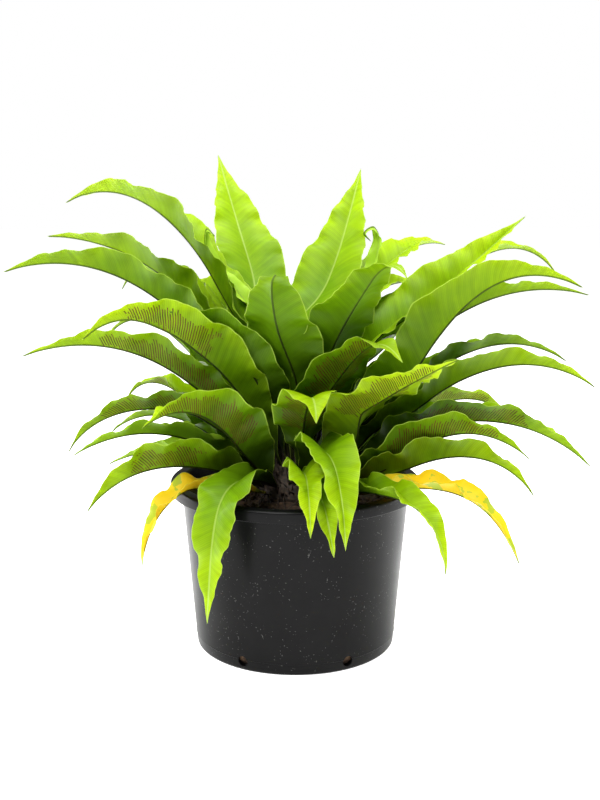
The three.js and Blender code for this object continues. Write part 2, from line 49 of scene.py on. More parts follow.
# The pot is an injection-moulded nursery container of black polypropylene. Its wall tapers to a flat base, a
# band is turned out round the rim, and six drain holes are punched low in the wall. It is a little dusty.
POT = {
    "sides": 168,
    "wall": 2.5,
    "wall_top": 141.0,
    "wall_base": 124.5,
    "corner": 4.0,
    "band": 14.0,
    "step_height": 14.5,
    "step_depth": 0.45,
    "foot_outer": 117.0,
    "foot_inner": 111.0,
    "recess": 2.5,
    "pad": 13.0,
    "mouth": 137.5,
    "hollow_radius": 4.0,
    "hollow_drop": 3.5,
    "fold_radius": 1.6,
    "fold_inset": 2.1,
    "fold_rise": 1.2,
    "lip": 3.0,
    "sharp_degrees": 38,
}
WALL_RINGS = (18, 60, 100, 140, 175, 190)
DRAIN = {"count": 6, "radius": 6.5, "height": 12.0, "depth": 10.0, "sides": 28}


def arc(centre, radius, start, end, steps):
    """Points of a profile round a centre, from one angle to another in degrees."""
    points = []
    for i in range(steps + 1):
        angle = math.radians(start + (end - start) * i / steps)
        points.append((centre[0] + radius * math.cos(angle), centre[1] + radius * math.sin(angle)))
    return points


def mesh_object(name, vertices, faces, smooth=True):
    """A mesh piece from plain lists of vertices in metres and faces."""
    mesh = bpy.data.meshes.new(name)
    mesh.from_pydata([tuple(v) for v in vertices], [], [tuple(f) for f in faces])
    mesh.validate()
    mesh.update()
    piece = bpy.data.objects.new(name, mesh)
    bpy.context.scene.collection.objects.link(piece)
    if smooth:
        mesh.polygons.foreach_set("use_smooth", [True] * len(mesh.polygons))
    return piece


def turned(name, profile, sides):
    """A body of revolution about the upright axis from a profile of (radius, height) in millimetres."""
    vertices = []
    rings = []
    for radius, height in profile:
        if radius < 1e-6:
            rings.append([len(vertices)])
            vertices.append((0.0, 0.0, height * MM))
            continue
        rings.append(list(range(len(vertices), len(vertices) + sides)))
        for k in range(sides):
            angle = 2 * math.pi * k / sides
            x, y = radius * math.cos(angle), radius * math.sin(angle)
            vertices.append((x * MM, y * MM, height * MM))
    faces = []
    for low, high in zip(rings, rings[1:]):
        for k in range(sides):
            a, b = low[k % len(low)], low[(k + 1) % len(low)]
            c, d = high[(k + 1) % len(high)], high[k % len(high)]
            corners = list(dict.fromkeys((a, b, c, d)))
            if len(corners) > 2:
                faces.append(corners)
    return mesh_object(name, vertices, faces)


def pot_profile(rim, top):
    """The pot's section: from the middle of its underside, up the outside, over the rim, down to its floor."""
    band_base = top - POT["band"]
    step = POT["step_height"]
    slope = (POT["wall_top"] - POT["wall_base"]) / (band_base - POT["corner"])

    def wall_at(height):
        return POT["wall_base"] + slope * (height - POT["corner"])

    corner = (POT["wall_base"] - POT["corner"], POT["corner"])
    profile = [(0, 0), (POT["pad"], 0), (POT["pad"] + 1, POT["recess"])]
    profile += [(POT["foot_inner"] - 1, POT["recess"]), (POT["foot_inner"], 0), (POT["foot_outer"], 0)]
    profile += arc(corner, POT["corner"], -75, 0, 5)
    profile += [(wall_at(step) - 0.05, step - 0.5)]
    profile += [(wall_at(step) + POT["step_depth"], step), (wall_at(step + 1) + POT["step_depth"], step + 1)]
    profile += [(wall_at(height), height) for height in WALL_RINGS]
    hollow = (wall_at(band_base) + POT["hollow_radius"], band_base - POT["hollow_drop"])
    profile += arc(hollow, POT["hollow_radius"], 165, 90, 4)
    profile += arc((rim - POT["fold_inset"], band_base + POT["fold_rise"]), POT["fold_radius"], -90, 0, 4)
    profile += arc((rim - POT["lip"], top - POT["lip"]), POT["lip"], 0, 90, 7)
    profile += arc((POT["wall_top"] + POT["lip"] / 2, top - POT["lip"]), POT["lip"], 90, 180, 6)
    profile += [(POT["mouth"], 190), (wall_at(120) - POT["wall"], 120)]
    profile += [(POT["wall_base"] - POT["wall"], 12), (POT["wall_base"] - 7, POT["recess"] + POT["wall"])]
    profile += [(0, POT["recess"] + POT["wall"])]
    return profile


def material(name):
    """An empty node material, its principled shader and a function that adds a node."""
    look = bpy.data.materials.new(name)
    look.use_nodes = True
    nodes = look.node_tree.nodes
    shader = nodes["Principled BSDF"]

    def add(kind, **settings):
        node = nodes.new(kind)
        for key, value in settings.items():
            setattr(node, key, value)
        return node

    return look, shader, add


def wire(look, source, target):
    """Joins an output socket to an input socket."""
    look.node_tree.links.new(source, target)


def ramp(look, add, source, stops):
    """A colour ramp over a value; stops are (place, colour)."""
    node = add("ShaderNodeValToRGB")
    elements = node.color_ramp.elements
    elements[0].position, elements[0].color = stops[0][0], (*stops[0][1], 1)
    elements[1].position, elements[1].color = stops[-1][0], (*stops[-1][1], 1)
    for place, colour in stops[1:-1]:
        elements.new(place).color = (*colour, 1)
    wire(look, source, node.inputs["Fac"])
    return node.outputs["Color"]


def noise_field(look, add, scale, detail=3.0, source=None):
    """A noise value over the piece, at a scale per metre."""
    node = add("ShaderNodeTexNoise")
    node.inputs["Scale"].default_value = scale
    node.inputs["Detail"].default_value = detail
    if source is None:
        source = add("ShaderNodeTexCoord").outputs["Object"]
    wire(look, source, node.inputs["Vector"])
    return node.outputs["Fac"]


def maths(look, add, operation, a, b=None, clamp=False):
    """One step of arithmetic on sockets or plain numbers."""
    node = add("ShaderNodeMath", operation=operation, use_clamp=clamp)
    for socket, value in zip(node.inputs, (a, b)):
        if value is None:
            continue
        if isinstance(value, (int, float)):
            socket.default_value = value
        else:
            wire(look, value, socket)
    return node.outputs[0]


def blended(look, add, share, first, second, mode="MIX"):
    """Two colours mixed by a share; a colour is a socket or three numbers."""
    node = add("ShaderNodeMix", data_type="RGBA", blend_type=mode)
    for socket, value in ((node.inputs[0], share), (node.inputs[6], first), (node.inputs[7], second)):
        if isinstance(value, (int, float)):
            socket.default_value = value
        elif isinstance(value, tuple):
            socket.default_value = (*value, 1)
        else:
            wire(look, value, socket)
    return node.outputs[2]


def bumped(look, add, shader, height, strength, distance):
    """Relief from a height field on a shader."""
    node = add("ShaderNodeBump")
    node.inputs["Strength"].default_value = strength
    node.inputs["Distance"].default_value = distance
    wire(look, height, node.inputs["Height"])
    wire(look, node.outputs["Normal"], shader.inputs["Normal"])


def black_plastic():
    """Moulded black plastic with a faint grain, dust and dried water specks."""
    look, shader, add = material("black_plastic")
    grain = noise_field(look, add, 900, 2)
    haze = noise_field(look, add, 22, 4)
    specks = noise_field(look, add, 420, 1)
    dust = maths(look, add, "GREATER_THAN", specks, 0.715)
    patchy = maths(look, add, "GREATER_THAN", noise_field(look, add, 30, 2), 0.46)
    dust = maths(look, add, "MULTIPLY", dust, patchy)
    black = ramp(look, add, haze, [(0.3, (0.0020, 0.0020, 0.0021)), (0.7, (0.0040, 0.0040, 0.0041))])
    dust_grey = (0.06, 0.06, 0.057)
    wire(look, blended(look, add, dust, black, dust_grey), shader.inputs["Base Color"])
    rough = add("ShaderNodeMapRange")
    wire(look, haze, rough.inputs["Value"])
    rough.inputs["To Min"].default_value = 0.26
    rough.inputs["To Max"].default_value = 0.38
    wire(look, rough.outputs[0], shader.inputs["Roughness"])
    shader.inputs["Specular IOR Level"].default_value = 0.09
    relief = maths(look, add, "ADD", grain, maths(look, add, "MULTIPLY", dust, 3.0))
    bumped(look, add, shader, relief, 0.12, 0.0003)
    return look


pot_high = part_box("pot")[1]
pot = turned("pot_shell", pot_profile(pot_high.x / MM, pot_high.z / MM), POT["sides"])
punch_mesh = bmesh.new()
for k in range(DRAIN["count"]):
    angle = 2 * math.pi * k / DRAIN["count"]
    direction = Vector((math.cos(angle), math.sin(angle), 0))
    turn = direction.to_track_quat("Z", "Y").to_matrix().to_4x4()
    turn.translation = direction * (POT["wall_base"] - 1) * MM + Vector((0, 0, DRAIN["height"] * MM))
    bmesh.ops.create_cone(
        punch_mesh,
        cap_ends=True,
        segments=DRAIN["sides"],
        radius1=DRAIN["radius"] * MM,
        radius2=DRAIN["radius"] * MM,
        depth=DRAIN["depth"] * MM,
        matrix=turn,
    )
punch_data = bpy.data.meshes.new("drain_punch")
punch_mesh.to_mesh(punch_data)
punch_mesh.free()
punch = bpy.data.objects.new("drain_punch", punch_data)
bpy.context.scene.collection.objects.link(punch)
cut = pot.modifiers.new("drain holes", "BOOLEAN")
cut.operation = "DIFFERENCE"
cut.solver = "EXACT"
cut.object = punch
bpy.context.view_layer.update()
punched = bpy.data.meshes.new_from_object(pot.evaluated_get(bpy.context.evaluated_depsgraph_get()))
pot.modifiers.clear()
pot.data = punched
bpy.data.objects.remove(punch)
pot.data.polygons.foreach_set("use_smooth", [True] * len(pot.data.polygons))
pot.data.set_sharp_from_angle(angle=math.radians(POT["sharp_degrees"]))
pot.data.materials.clear()
pot.data.materials.append(black_plastic())
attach(pot, "root")
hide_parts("pot")

# The potting mix is chopped bark, coir and grit, filled loose to a little below the rim. Its top is lumpy,
# and loose split chips of bark lie on it.
MIX = {
    "rings": 22,
    "sides": 96,
    "heap": 3.0,
    "base_inset": 4,
    "shoulder_inset": 1,
    "shoulder_height": 6,
    "edge_drop": 4,
    "lump": 3.4,
    "coarse_scale": 45,
    "fine_scale": 130,
    "fine_share": 0.6,
}
CHIPS = {
    "count": 520,
    "seed": 7,
    "length": (5.0, 11.0),
    "width": (0.3, 0.7),
    "thickness": (0.12, 0.3),
    "worn": (0.55, 1.0),
    "height": (-1.0, 1.6),
    "levelled": 0.55,
    "rim_gap": 6,
}


def bark_mix():
    """Dark, damp bark and fibre."""
    look, shader, add = material("bark_mix")
    coarse = noise_field(look, add, 160, 5)
    fine = noise_field(look, add, 900, 3)
    stops = [(0.3, (0.010, 0.006, 0.004)), (0.55, (0.045, 0.026, 0.015)), (0.8, (0.13, 0.080, 0.045))]
    wire(look, ramp(look, add, coarse, stops), shader.inputs["Base Color"])
    shader.inputs["Roughness"].default_value = 0.9
    shader.inputs["Specular IOR Level"].default_value = 0.25
    bumped(look, add, shader, maths(look, add, "ADD", coarse, fine), 0.6, 0.0015)
    return look


soil_low, soil_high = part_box("soil")
mix_radius = soil_high.x / MM
mix_floor = soil_low.z / MM
mix_top = soil_high.z / MM - MIX["heap"]
pot_inside = POT["wall_base"] - POT["wall"]
mix_profile = [(0, mix_floor), (pot_inside - MIX["base_inset"], mix_floor)]
mix_profile += [(pot_inside - MIX["shoulder_inset"], mix_floor + MIX["shoulder_height"])]
mix_profile += [(mix_radius, mix_top - MIX["edge_drop"])]
mix_profile += [(mix_radius * (1 - i / MIX["rings"]), mix_top) for i in range(MIX["rings"] + 1)]
mix = turned("potting_mix_top", mix_profile, MIX["sides"])
for vertex in mix.data.vertices:
    if vertex.co.z < (mix_top - 1) * MM:
        continue
    coarse_lumps = noise.noise(vertex.co * MIX["coarse_scale"])
    fine_lumps = noise.noise(vertex.co * MIX["fine_scale"])
    vertex.co.z += MIX["lump"] * MM * (coarse_lumps + MIX["fine_share"] * fine_lumps)


def bark_chips():
    """Loose chips: flat, split blocks with uneven corners, lying every way on the mix."""
    draw = np.random.default_rng(CHIPS["seed"])
    up = Vector((0, 0, 1))
    vertices, faces = [], []
    corners = [(x, y, z) for z in (-1, 1) for x, y in ((-1, -1), (1, -1), (1, 1), (-1, 1))]
    sides = [(0, 3, 2, 1), (4, 5, 6, 7), (0, 1, 5, 4), (1, 2, 6, 5), (2, 3, 7, 6), (3, 0, 4, 7)]
    for _ in range(CHIPS["count"]):
        radius = (mix_radius - CHIPS["rim_gap"]) * math.sqrt(draw.uniform(0.1, 1.0))
        angle = draw.uniform(0, 2 * math.pi)
        length = draw.uniform(*CHIPS["length"]) * 0.5
        width = length * draw.uniform(*CHIPS["width"])
        thickness = length * draw.uniform(*CHIPS["thickness"])
        tossed = Vector(draw.normal(size=3)).normalized().to_track_quat("Z", "Y")
        lie = up.rotation_difference(tossed @ up).slerp(Quaternion(), CHIPS["levelled"])
        spin = Vector((math.cos(angle * 7), math.sin(angle * 7), 0)).to_track_quat("X", "Z")
        height = mix_top + draw.uniform(*CHIPS["height"])
        place = Vector((radius * math.cos(angle), radius * math.sin(angle), height))
        base = len(vertices)
        for x, y, z in corners:
            worn = draw.uniform(*CHIPS["worn"], 3)
            point = Vector((x * length * worn[0], y * width * worn[1], z * thickness))
            vertices.append((place + lie @ (spin @ point)) * MM)
        faces += [tuple(base + i for i in side) for side in sides]
    return mesh_object("bark_chips", vertices, faces, smooth=False)


mix_look = bark_mix()
mix.data.materials.append(mix_look)
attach(mix, "root")
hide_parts("soil")
chips = bark_chips()
chips.data.materials.append(mix_look)
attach(chips, "root")

# The crown is the fern's short upright stock. Narrow brown scales cover it between the stalks, and wiry dark
# roots run out from its foot into the mix.
CROWN = {"radius": 45.0, "rise": 38.0, "level": 194.0, "seed": 19}
SCALES = {
    "count": 520,
    "length": (7, 15),
    "width": (0.7, 1.5),
    "half_thickness": 0.15,
    "bow": 1.6,
    "tip_bow": 2.4,
}
ROOTS = {
    "count": 46,
    "radius": 0.55,
    "reach": (12, 34),
    "bend": (-0.5, 0.5),
    "arch": 5,
    "dive": 8,
    "steps": 9,
}


def brown_scales():
    """Papery dark-brown scales and root fibre."""
    look, shader, add = material("brown_scales")
    streaks = noise_field(look, add, 260, 4)
    stops = [(0.3, (0.007, 0.0045, 0.003)), (0.6, (0.035, 0.020, 0.010)), (0.85, (0.10, 0.060, 0.028))]
    wire(look, ramp(look, add, streaks, stops), shader.inputs["Base Color"])
    shader.inputs["Roughness"].default_value = 0.8
    bumped(look, add, shader, streaks, 0.5, 0.001)
    return look


def scale_coat():
    """Narrow scales that point up and out from the dome, each a thin bent blade."""
    draw = np.random.default_rng(CROWN["seed"])
    half = SCALES["half_thickness"]
    vertices, faces = [], []
    for _ in range(SCALES["count"]):
        turn = draw.uniform(0, 2 * math.pi)
        lift = math.asin(draw.uniform(0.02, 0.98))
        outward = Vector((math.cos(turn) * math.cos(lift), math.sin(turn) * math.cos(lift), math.sin(lift)))
        root = Vector((outward.x * CROWN["radius"], outward.y * CROWN["radius"], 0))
        root.z = CROWN["level"] + outward.z * CROWN["rise"]
        along = (outward * 0.6 + Vector((0, 0, 1)) + Vector(draw.normal(size=3)) * 0.25).normalized()
        across = along.cross(outward).normalized()
        length = draw.uniform(*SCALES["length"])
        width = draw.uniform(*SCALES["width"])
        base = len(vertices)
        for share, breadth in ((0.0, 1.0), (0.45, 0.85), (0.8, 0.4)):
            middle = root + along * length * share + outward * (SCALES["bow"] * share * share)
            for hand, thick in ((-1, half), (1, half), (1, -half), (-1, -half)):
                point = middle + across * (hand * width * breadth) + outward * thick
                vertices.append(point * MM)
        vertices.append((root + along * length + outward * SCALES["tip_bow"]) * MM)
        faces.append((base + 3, base + 2, base + 1, base))
        for row in (0, 4):
            for k in range(4):
                a, b = base + row + k, base + row + (k + 1) % 4
                faces.append((a, b, b + 4, a + 4))
        for k in range(4):
            faces.append((base + 8 + k, base + 8 + (k + 1) % 4, base + 12))
    return mesh_object("crown_scales", vertices, faces)


def wiry_roots():
    """Dark roots that arch from the crown's foot down into the mix."""
    draw = np.random.default_rng(CROWN["seed"] + 1)
    curve = bpy.data.curves.new("crown_roots", "CURVE")
    curve.dimensions = "3D"
    curve.bevel_depth = ROOTS["radius"] * MM
    curve.bevel_resolution = 2
    curve.use_fill_caps = True
    for _ in range(ROOTS["count"]):
        turn = draw.uniform(0, 2 * math.pi)
        bend = draw.uniform(*ROOTS["bend"])
        reach = draw.uniform(*ROOTS["reach"])
        spline = curve.splines.new("POLY")
        spline.points.add(ROOTS["steps"])
        for i, point in enumerate(spline.points):
            share = i / ROOTS["steps"]
            radius = CROWN["radius"] - 3 + reach * share
            arch = ROOTS["arch"] * math.sin(math.pi * share)
            height = CROWN["level"] + arch - ROOTS["dive"] * share * share
            angle = turn + bend * share * share
            x, y = radius * math.cos(angle), radius * math.sin(angle)
            point.co = (x * MM, y * MM, height * MM, 1)
    roots = bpy.data.objects.new("crown_roots", curve)
    bpy.context.scene.collection.objects.link(roots)
    return roots


scales_look = brown_scales()
crown_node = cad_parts["crown"]
crown_node.data.materials.clear()
crown_node.data.materials.append(scales_look)
for coat in (scale_coat(), wiry_roots()):
    coat.data.materials.append(scales_look)
    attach(coat, "root")

# The fronds are undivided, strap-shaped blades, waxy on top and waved along both edges. Each grows from the
# crown on a short dark stalk, with a midrib that is pale above and dark below. Ripe ones carry rust-brown
# stripes of spores beneath, in rows beside the midrib and in line with the fine veins.
BLADE = {
    "stations": 18,
    "rows_per_station": 7,
    "thickness": 0.52,
    "edge_thinning": 0.45,
    "crest": 0.42,
    "ridge": 0.35,
    "ridge_top": 0.62,
    "keel": 1.5,
    "keel_root": 0.3,
    "keel_taper": 0.7,
    "rib": 1.3,
    "widest_rib": 0.30,
    "rib_spacing": 0.25,
    "arch": 0.07,
    "full_wave_width": 16,
    "wave": 2.3,
    "wave_length": 34.0,
    "crimp": 0.7,
    "crimp_length": 12.5,
    "quilt": 0.09,
    "quilt_length": 6.5,
    "vein_slope": 0.62,
    "stalk_end": 0.1,
}
# Where the columns of points lie on each half: beside the midrib, as shares of its width with its height
# there, and then across the blade, as shares of the half's width
RIB_COLUMNS = ((0.55, 0.62), (1.0, 0.12))
COLUMNS = (0.14, 0.26, 0.38, 0.50, 0.62, 0.73, 0.83, 0.91, 0.965, 1.0)

# The fronds with spores beneath: where along them the spores start and end, and how thick they lie
SPORE_FADE = 0.12
SPORES = {
    "frond_03": (0.30, 0.92, 1.0),
    "frond_04": (0.35, 0.95, 1.0),
    "frond_05": (0.30, 0.92, 1.0),
    "frond_06": (0.25, 0.95, 1.0),
    "frond_07": (0.45, 0.92, 0.8),
    "frond_10": (0.30, 0.90, 1.0),
    "frond_19": (0.25, 0.80, 1.0),
    "frond_20": (0.25, 0.85, 1.0),
    "frond_21": (0.30, 0.80, 0.7),
    "frond_24": (0.30, 0.80, 0.9),
    "frond_28": (0.30, 0.90, 1.0),
    "frond_43": (0.30, 0.90, 0.8),
    "frond_48": (0.30, 0.90, 0.9),
    "frond_51": (0.30, 0.90, 0.9),
}
# How young a frond's green still is, and how far one has gone yellow
YOUNG = {"frond_38": 1.0, "frond_39": 1.0, "frond_45": 1.0, "frond_29": 0.6, "frond_22": 0.4}
YELLOW = {"frond_16": 1.0, "frond_17": 1.0}
# How bright a frond's green is, where the usual spread isn't right for it
USUAL_TONE = (0.15, 0.75)
TONES = {
    "frond_01": -0.35,
    "frond_02": -0.25,
    "frond_03": 0.3,
    "frond_04": -0.1,
    "frond_05": 1.2,
    "frond_08": -0.6,
    "frond_09": 0.6,
    "frond_11": 0.25,
    "frond_23": 0.8,
    "frond_30": 0.15,
    "frond_31": 0.15,
    "frond_32": 0.7,
    "frond_33": 0.7,
    "frond_34": 0.45,
    "frond_36": 0.6,
}
# The marks on a blade and its painted shade toward the crown: spacings and widths in metres, and places as
# shares of its length or of a half's width
MARKS = {
    "vein_spacing": 0.0024,
    "rib_half_width": 0.0013,
    "rim_start": 0.972,
    "withered_tip": 0.985,
    "brown_stalk": 0.09,
    "painted_shade_end": 0.42,
    "deepest_painted_shade": 0.22,
    "spore_spacing": 0.0031,
    "spore_width": 0.46,
    "light_through": 0.34,
}


def blade_rings(node):
    """A frond's solid as its rings of six points from foot to tip, and the tip. The points go round each ring
    as left edge, midrib and right edge above, then right edge, midrib and left edge below."""
    mesh = node.data

    # The solid's points lie on a grid of 256 to the millimetre, so those that are one point round alike
    grid = 256000
    places = np.empty(len(mesh.vertices) * 3)
    mesh.vertices.foreach_get("co", places)
    keys = np.round(places.reshape(-1, 3) * grid).astype(np.int64)
    points, index = np.unique(keys, axis=0, return_inverse=True)
    points = points / grid
    index = index.reshape(-1)
    mesh.calc_loop_triangles()
    triangles = np.empty(len(mesh.loop_triangles) * 3, dtype=np.int64)
    mesh.loop_triangles.foreach_get("vertices", triangles)
    triangles = index[triangles].reshape(-1, 3)
    near = [set() for _ in points]
    for a, b, c in triangles:
        near[a] |= {b, c}
        near[b] |= {a, c}
        near[c] |= {a, b}

    # The tip is known by how many neighbours its own six neighbours have
    tip_pattern = [4, 4, 5, 5, 6, 6]
    tip = next(i for i, around in enumerate(near) if sorted(len(near[n]) for n in around) == tip_pattern)
    turn = {}
    for a, b, c in triangles:
        for first, second, third in ((a, b, c), (b, c, a), (c, a, b)):
            if first == tip:
                turn[third] = second
    ring = [next(iter(turn))]
    while len(ring) < 6:
        ring.append(turn[ring[-1]])

    # Ring by ring toward the foot: a point with one neighbour ahead goes on to it, and one with more goes on
    # to the one that the others leave. The midrib above is the point with three between two with one.
    seen = {tip, *ring}
    rings = [ring]
    splits = None
    while True:
        onward = {v: {n for n in near[v] if n not in seen} for v in ring}
        if not any(onward.values()):
            break
        splits = splits or [len(onward[v]) for v in ring]
        match = {}
        for v in sorted(ring, key=lambda v: len(onward[v])):
            match[v] = min(onward[v] - set(match.values()))
        ring = [match[v] for v in ring]
        seen.update(ring)
        rings.append(ring)
    rings = points[np.array(rings[::-1])]
    above = next(k for k in range(6) if (splits[k - 1], splits[k], splits[(k + 1) % 6]) == (1, 3, 1))
    return np.roll(rings, 1 - above, axis=1), points[tip]


def splined(values, rows):
    """A smooth curve through the stations' values, at so many rows from each station to the next."""
    padded = np.vstack([2 * values[0] - values[1], values, 2 * values[-1] - values[-2]])
    out = []
    for i in range(len(values) - 1):
        p0, p1, p2, p3 = padded[i : i + 4]
        squared = 2 * p0 - 5 * p1 + 4 * p2 - p3
        cubed = 3 * p1 - p0 - 3 * p2 + p3
        for k in range(rows):
            t = k / rows
            out.append(0.5 * (2 * p1 + (p2 - p0) * t + squared * t**2 + cubed * t**3))
    out.append(values[-1])
    return np.array(out)


def unit(vectors):
    """Vectors scaled to length one."""
    return vectors / np.maximum(np.linalg.norm(vectors, axis=-1, keepdims=True), 1e-12)


def smoothstep(x, low, high):
    """A smooth rise from 0 at low to 1 at high."""
    t = np.clip((x - low) / (high - low), 0, 1)
    return t * t * (3 - 2 * t)


def ripple(kind, size, place, start):
    """One of a blade's waves, at a share of its full height."""
    length = BLADE[kind + "_length"] * MM
    return BLADE[kind] * MM * size * np.sin(2 * math.pi * place / length + start)


def across_blade(halves, middle):
    """Columns from the left edge to the right one, from both halves' columns, which each run outward."""
    half = len(halves) // 2
    return halves[:half][::-1] + [middle] + halves[half:]


def frond_piece(name, number):
    """One frond's fine surface from its solid, and the fields that its finish reads."""
    draw = np.random.default_rng(500 + number)
    rings, tip = blade_rings(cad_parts[name])
    above = np.vstack([rings[:, 1], tip])
    below = np.vstack([rings[:, 4], tip])
    left = np.vstack([(rings[:, 0] + rings[:, 5]) / 2, tip])
    right = np.vstack([(rings[:, 2] + rings[:, 3]) / 2, tip])
    lift = unit(above[:-1] - below[:-1])
    lift = np.vstack([lift, lift[-1]])
    depth = np.linalg.norm(above - below, axis=1)
    stations = BLADE["stations"]
    opened = smoothstep(np.linspace(-1, stations, stations + 2) / stations, 0, BLADE["stalk_end"])
    raised = np.where(opened > 0.99, BLADE["crest"] * MM, depth / 2)
    centre = above - lift * raised[:, None]
    rows = BLADE["rows_per_station"]
    centre, left, right = (splined(values, rows) for values in (centre, left, right))
    lift = unit(splined(lift, rows))
    depth = splined(depth[:, None], rows)[:, 0]
    along = np.concatenate([[0], np.cumsum(np.linalg.norm(np.diff(centre, axis=0), axis=1))])
    share = np.clip(np.linspace(-1, stations, len(centre)) / stations, 0, 1)
    opened = smoothstep(share, 0, BLADE["stalk_end"])
    forward = unit(np.gradient(centre, axis=0))
    count = len(centre)

    keel = BLADE["keel"] * (1 - BLADE["keel_taper"] * share)
    upper, under, shares, widths = [], [], [], []
    for hand, edge in ((-1, left), (1, right)):
        out = edge - centre
        width = np.linalg.norm(out, axis=1)
        normal = unit(np.cross(forward, out) * hand)
        flip = np.sign(np.sum(normal * lift, axis=1))
        normal = unit(normal * np.where(flip == 0, 1, flip)[:, None])
        phase = draw.uniform(0, 2 * math.pi, 3)
        size = np.minimum(1, width / (BLADE["full_wave_width"] * MM))
        drift = along + 0.006 * np.sin(along * 35 + phase[2])
        wave = ripple("wave", size, drift, phase[0])
        crimp = ripple("crimp", size, drift, phase[1])
        rib = np.minimum(BLADE["widest_rib"], BLADE["rib"] * MM / np.maximum(width, 1e-6))
        columns = [(rib * rib_part, ridge) for rib_part, ridge in RIB_COLUMNS]
        for i, u in enumerate(COLUMNS):
            columns.append((np.maximum(rib * (1 + BLADE["rib_spacing"] * (i + 1)), u), 0.0))
        for u, ridge in columns:
            u = np.minimum(u, 1.0)
            arch = BLADE["arch"] * width * np.sin(math.pi * u) * opened
            vein = along - BLADE["vein_slope"] * width * u
            quilt = ripple("quilt", size, vein, phase[2]) * np.sin(math.pi * u)
            swing = (wave * u**2 + crimp * u**5 + arch + quilt * opened) * opened
            middle = centre + out * u[:, None] + normal * swing[:, None]
            round_stalk = np.sqrt(np.clip(1 - u**2, 0.04, 1)) * depth / 2
            flat = BLADE["thickness"] * MM / 2 * (1 - BLADE["edge_thinning"] * smoothstep(u, 0.8, 1.0))
            top = round_stalk * (1 - opened) + (flat + ridge * BLADE["ridge"] * MM) * opened
            base = round_stalk * (1 - opened) + (flat + ridge * keel * MM) * opened
            upper.append(middle + normal * top[:, None])
            under.append(middle - normal * base[:, None])
            shares.append(hand * u)
            widths.append(width)
    stalk = (depth / 2) * (1 - opened)
    crest_line = centre + lift * (stalk + BLADE["ridge_top"] * MM * opened)[:, None]
    keel_line = centre - lift * (stalk + (BLADE["keel_root"] + keel) * MM * opened)[:, None]

    top_columns = across_blade(upper, crest_line)
    low_columns = across_blade(under, keel_line)
    across = across_blade(shares, np.zeros(count))
    widths = across_blade(widths, widths[0])
    around = top_columns + low_columns[::-1]
    signs = [1.0] * len(top_columns) + [-1.0] * len(low_columns)
    across = across + across[::-1]
    widths = widths + widths[::-1]
    columns = len(around)
    body = np.stack(around, axis=1)[:-1]
    vertices = np.vstack([body.reshape(-1, 3), tip[None]])
    last = len(vertices) - 1
    faces = []
    for i in range(count - 2):
        for k in range(columns):
            a, b = i * columns + k, i * columns + (k + 1) % columns
            faces.append((a, a + columns, b + columns, b))
    ring = (count - 2) * columns
    faces += [(ring + (k + 1) % columns, ring + k, last) for k in range(columns)]
    half_ring = columns // 2
    for k in range(half_ring - 1):
        faces.append((columns - 2 - k, columns - 1 - k, k, k + 1))
    piece = mesh_object(name + "_blade", vertices, faces)

    place = np.repeat(share[:-1], columns)
    u = np.stack(across, axis=1)[:-1].reshape(-1)
    width = np.stack(widths, axis=1)[:-1].reshape(-1)
    face = np.tile(signs, count - 1)
    length = np.repeat(along[:-1], columns)
    start, end, strength = SPORES.get(name, (0.4, 0.9, 0.0))
    begun = smoothstep(place, start, start + SPORE_FADE)
    ended = smoothstep(place, end - SPORE_FADE, end)
    spores = strength * begun * (1 - ended)
    tone = TONES.get(name, draw.uniform(*USUAL_TONE))
    age = (tone, YOUNG.get(name, 0.0), YELLOW.get(name, 0.0))
    store_field(piece, "blade", np.column_stack([place, u, face]), (1.0, 0.0, 1.0))
    store_field(piece, "span", np.column_stack([length, u * width, spores]), (along[-1], 0.0, 0.0))
    store_field(piece, "age", np.tile(age, (len(place), 1)), age)
    return piece


def store_field(piece, name, values, at_tip):
    """Three numbers at each point of a frond, the last of them its tip."""
    layer = piece.data.attributes.new(name, "FLOAT_VECTOR", "POINT")
    values = np.vstack([values, np.array([at_tip], dtype=float)])
    layer.data.foreach_set("vector", values.astype(np.float32).reshape(-1))


